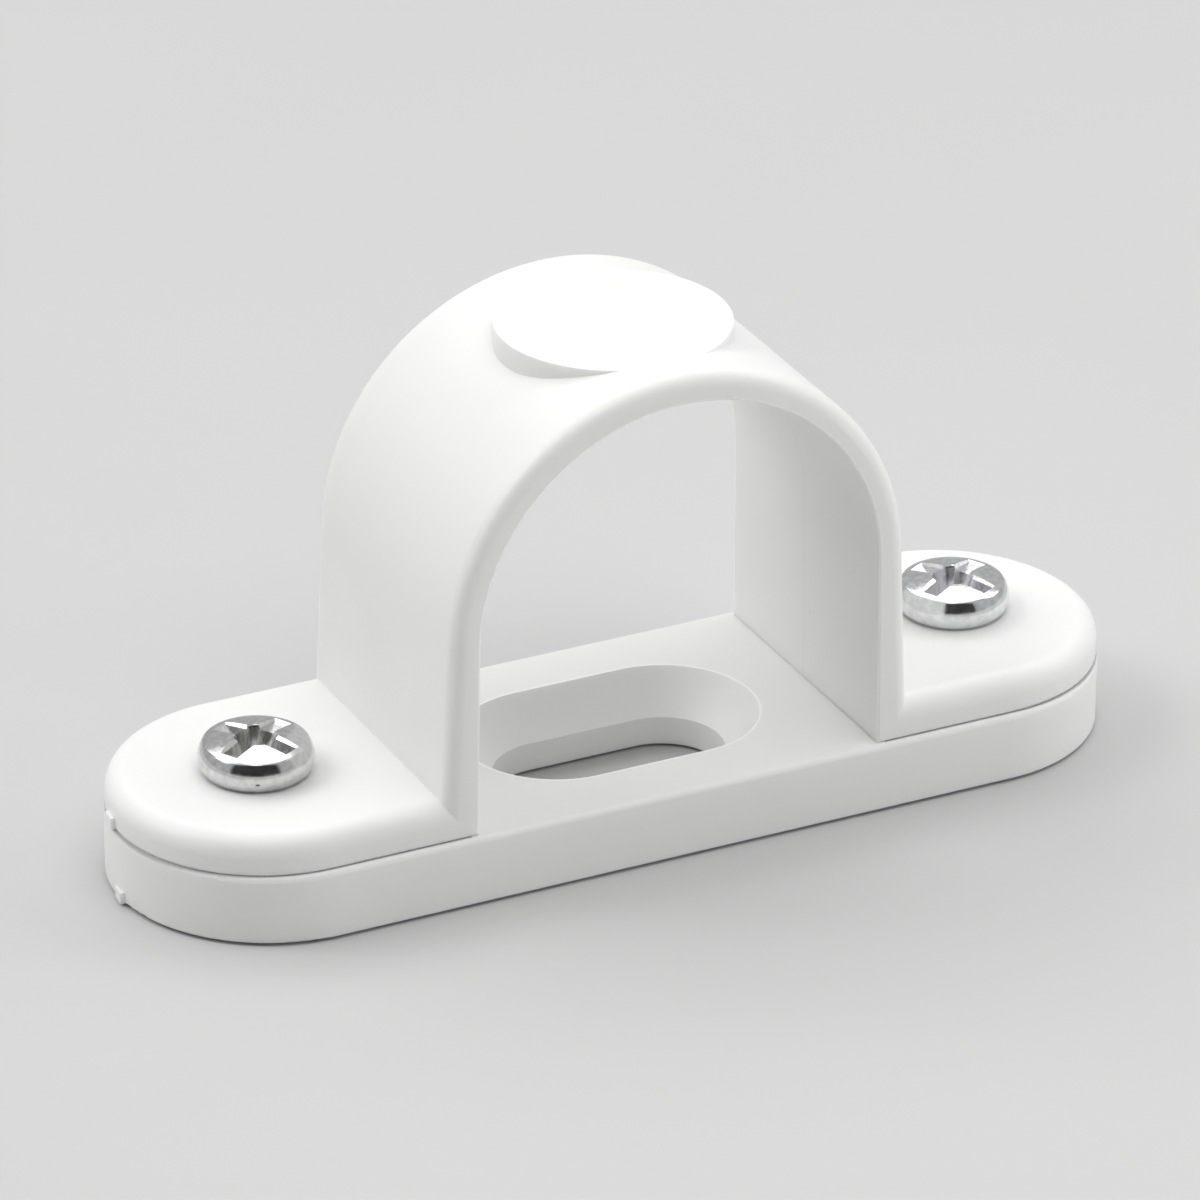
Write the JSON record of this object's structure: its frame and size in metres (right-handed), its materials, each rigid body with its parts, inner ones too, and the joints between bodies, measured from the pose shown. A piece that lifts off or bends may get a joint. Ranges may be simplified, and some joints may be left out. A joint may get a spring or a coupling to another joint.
{
  "type": "conduit saddle",
  "caption": "White moulded saddle: an arched strap with a flat pad on its crown holds a round conduit down on a spacer base with a sunk fixing slot, by pan-head screws through its tabs.",
  "frame": {"origin": "centre of the base's underside, on the wall it is fixed to", "axes": "+X along the base from screw to screw, +Y along the conduit, +Z out of the wall through the crown"},
  "size_m": [0.0641, 0.0196, 0.031],
  "materials": {
    "base": "smooth satin moulding, white",
    "saddle": "smooth satin moulding, white",
    "screws": "bright zinc plate"
  },
  "bodies": {
    "root": {"base": "base", "saddle": "saddle", "screws": "screws"}
  },
  "joints": []
}
